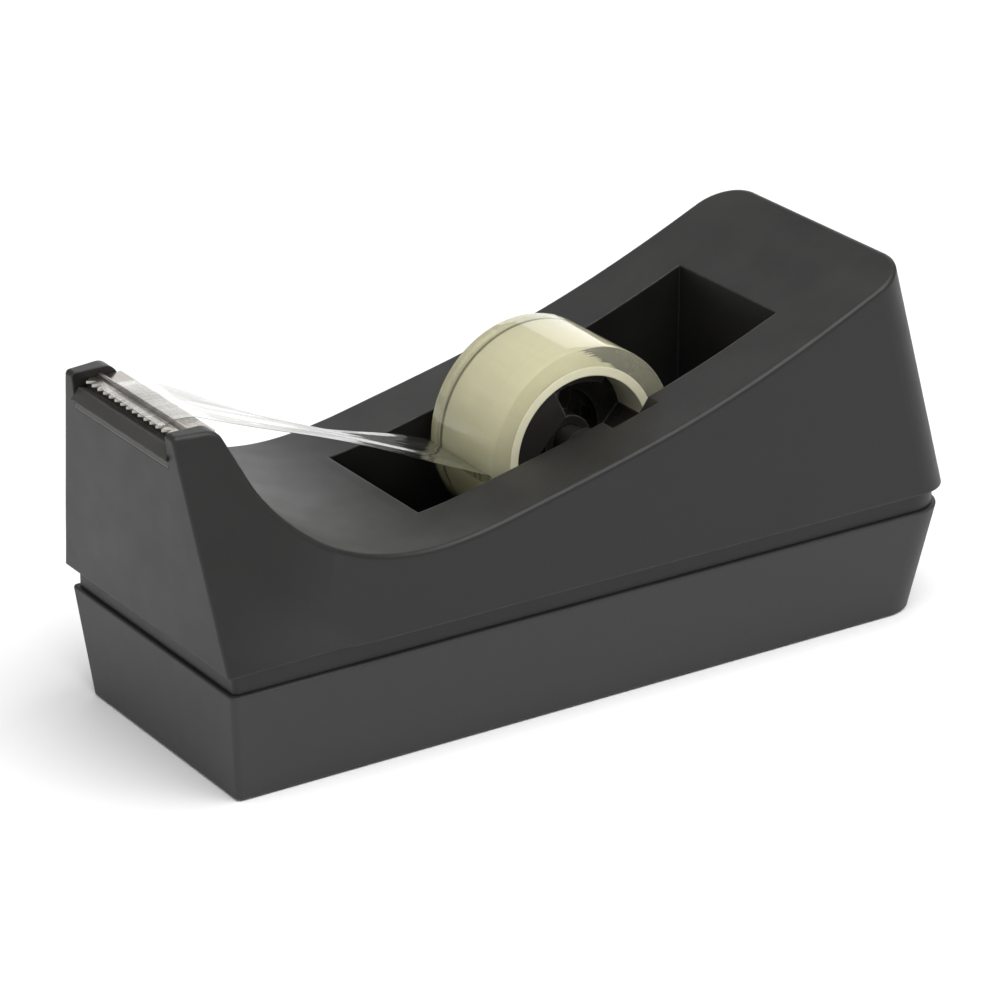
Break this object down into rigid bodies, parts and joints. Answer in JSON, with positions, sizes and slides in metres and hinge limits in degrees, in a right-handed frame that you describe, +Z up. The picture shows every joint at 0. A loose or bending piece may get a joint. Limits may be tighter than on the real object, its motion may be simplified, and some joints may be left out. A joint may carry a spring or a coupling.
{
  "type": "tape dispenser",
  "caption": "Weighted desktop tape dispenser with a concave saddle, an open well for a small-core roll and a serrated cutter on a raised tower.",
  "frame": {"origin": "centre of the footprint, on the surface that the foam pad stands on", "axes": "+X from the cutter to the rear, +Y across, +Z up"},
  "size_m": [0.1491, 0.0556, 0.0657],
  "materials": {
    "tray_plastic": "matte",
    "housing_plastic": "matte",
    "holder_plastic": "satin",
    "hub_plastic": "satin",
    "foam": "matte",
    "ballast_iron": "rough",
    "zinc_steel": "satin",
    "blade_steel": "satin",
    "core_plastic": "satin",
    "tape_film": "gloss",
    "clear_strip": "gloss"
  },
  "bodies": {
    "housing": {"base_tray": "tray_plastic", "foam_pad": "foam", "ballast": "ballast_iron", "housing_screws": "zinc_steel", "upper_housing": "housing_plastic", "blade_holder": "holder_plastic", "cutter_blade": "blade_steel"},
    "spindle": {"spindle": "hub_plastic", "tape_strip": "clear_strip"},
    "reel": {"hub_near_half": "hub_plastic", "hub_far_half": "hub_plastic", "tape_core": "core_plastic", "tape_roll": "tape_film"}
  },
  "joints": [
    {"name": "spindle_lift", "type": "slide", "parent": "housing", "child": "spindle", "axis": [0.5736, 0, 0.8192], "range_m": [0, 0.03]},
    {"name": "reel_spin", "type": "hinge", "parent": "spindle", "child": "reel", "pos_m": [0.0085, 0, 0.0388], "axis": [0, 1, 0], "continuous": true}
  ]
}
